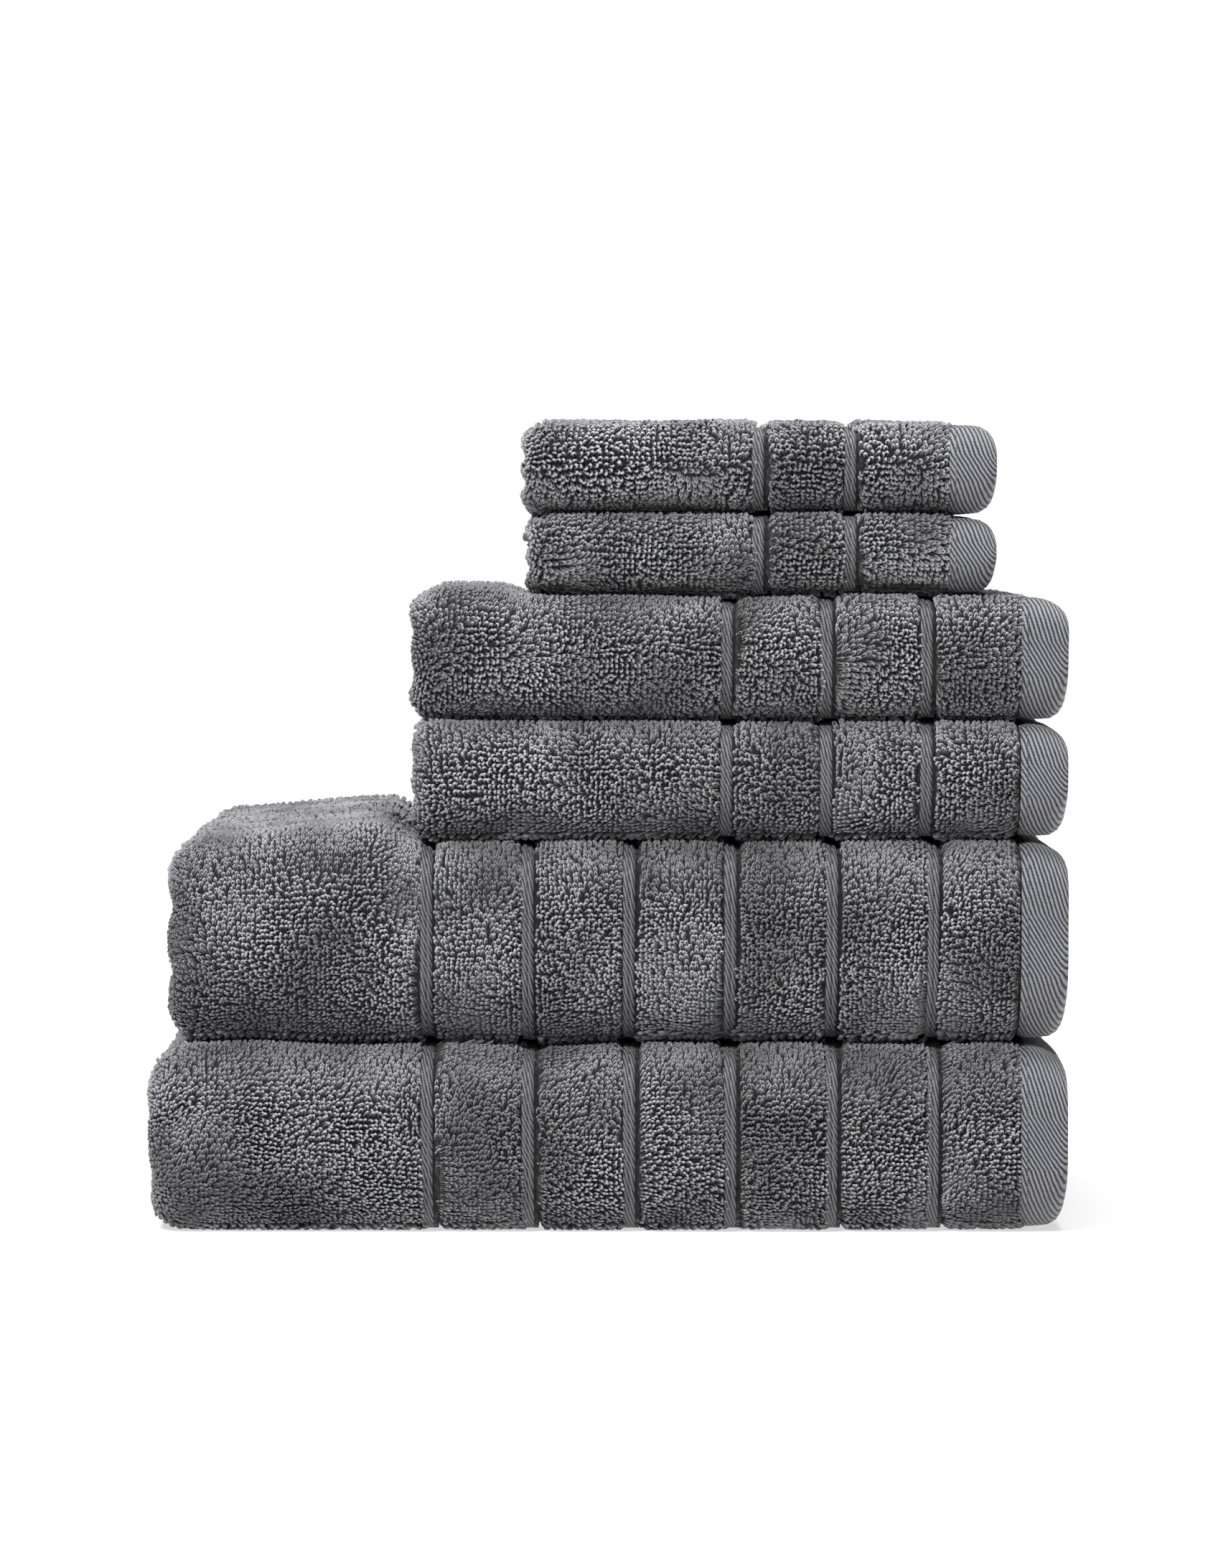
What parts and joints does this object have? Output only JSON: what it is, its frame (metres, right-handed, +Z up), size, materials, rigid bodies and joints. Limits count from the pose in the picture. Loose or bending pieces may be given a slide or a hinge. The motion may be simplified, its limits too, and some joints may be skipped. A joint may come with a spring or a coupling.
{
  "type": "bath towel set",
  "caption": "Stack of folded charcoal terry towels, from bath size at the bottom to face size at the top, with flat-woven bands across their ends and turned, stitched hems.",
  "frame": {"origin": "middle of the stack's footprint, on the surface that it rests on", "axes": "+Z up; +X along the towels' folded length, towards the end hems; -Y is the front, where the wide folds face out"},
  "size_m": [0.35, 0.2334, 0.3095],
  "materials": {
    "terry": "matte",
    "hem": "matte",
    "thread": "matte"
  },
  "bodies": {
    "bath_towel_lower": {"bath_towel_lower.cloth": "terry", "bath_towel_lower.end_hem_outer": "hem", "bath_towel_lower.end_hem_inner": "hem", "bath_towel_lower.end_stitching_outer": "thread", "bath_towel_lower.end_stitching_inner": "thread", "bath_towel_lower.side_hem_back": "hem", "bath_towel_lower.side_hem_tucked": "hem", "bath_towel_lower.side_stitching_back": "thread", "bath_towel_lower.side_stitching_tucked": "thread"},
    "bath_towel_upper": {"bath_towel_upper.cloth": "terry", "bath_towel_upper.end_hem_outer": "hem", "bath_towel_upper.end_hem_inner": "hem", "bath_towel_upper.end_stitching_outer": "thread", "bath_towel_upper.end_stitching_inner": "thread", "bath_towel_upper.side_hem_back": "hem", "bath_towel_upper.side_hem_tucked": "hem", "bath_towel_upper.side_stitching_back": "thread", "bath_towel_upper.side_stitching_tucked": "thread"},
    "hand_towel_lower": {"hand_towel_lower.cloth": "terry", "hand_towel_lower.end_hem_outer": "hem", "hand_towel_lower.end_hem_inner": "hem", "hand_towel_lower.end_stitching_outer": "thread", "hand_towel_lower.end_stitching_inner": "thread", "hand_towel_lower.side_hem_back": "hem", "hand_towel_lower.side_hem_tucked": "hem", "hand_towel_lower.side_stitching_back": "thread", "hand_towel_lower.side_stitching_tucked": "thread"},
    "hand_towel_upper": {"hand_towel_upper.cloth": "terry", "hand_towel_upper.end_hem_outer": "hem", "hand_towel_upper.end_hem_inner": "hem", "hand_towel_upper.end_stitching_outer": "thread", "hand_towel_upper.end_stitching_inner": "thread", "hand_towel_upper.side_hem_back": "hem", "hand_towel_upper.side_hem_tucked": "hem", "hand_towel_upper.side_stitching_back": "thread", "hand_towel_upper.side_stitching_tucked": "thread"},
    "face_washer_lower": {"face_washer_lower.cloth": "terry", "face_washer_lower.end_hem_outer": "hem", "face_washer_lower.end_hem_inner": "hem", "face_washer_lower.end_stitching_outer": "thread", "face_washer_lower.end_stitching_inner": "thread", "face_washer_lower.side_hem_back": "hem", "face_washer_lower.side_hem_tucked": "hem", "face_washer_lower.side_stitching_back": "thread", "face_washer_lower.side_stitching_tucked": "thread"},
    "face_washer_upper": {"face_washer_upper.cloth": "terry", "face_washer_upper.end_hem_outer": "hem", "face_washer_upper.end_hem_inner": "hem", "face_washer_upper.end_stitching_outer": "thread", "face_washer_upper.end_stitching_inner": "thread", "face_washer_upper.side_hem_back": "hem", "face_washer_upper.side_hem_tucked": "hem", "face_washer_upper.side_stitching_back": "thread", "face_washer_upper.side_stitching_tucked": "thread"}
  },
  "joints": [
    {"name": "bath_towel_upper_lift", "type": "slide", "parent": "bath_towel_lower", "child": "bath_towel_upper", "axis": [0, 0, 1], "range_m": [0, 0.12]},
    {"name": "hand_towel_lower_lift", "type": "slide", "parent": "bath_towel_upper", "child": "hand_towel_lower", "axis": [0, 0, 1], "range_m": [0, 0.12]},
    {"name": "hand_towel_upper_lift", "type": "slide", "parent": "hand_towel_lower", "child": "hand_towel_upper", "axis": [0, 0, 1], "range_m": [0, 0.12]},
    {"name": "face_washer_lower_lift", "type": "slide", "parent": "hand_towel_upper", "child": "face_washer_lower", "axis": [0, 0, 1], "range_m": [0, 0.12]},
    {"name": "face_washer_upper_lift", "type": "slide", "parent": "face_washer_lower", "child": "face_washer_upper", "axis": [0, 0, 1], "range_m": [0, 0.12]}
  ]
}
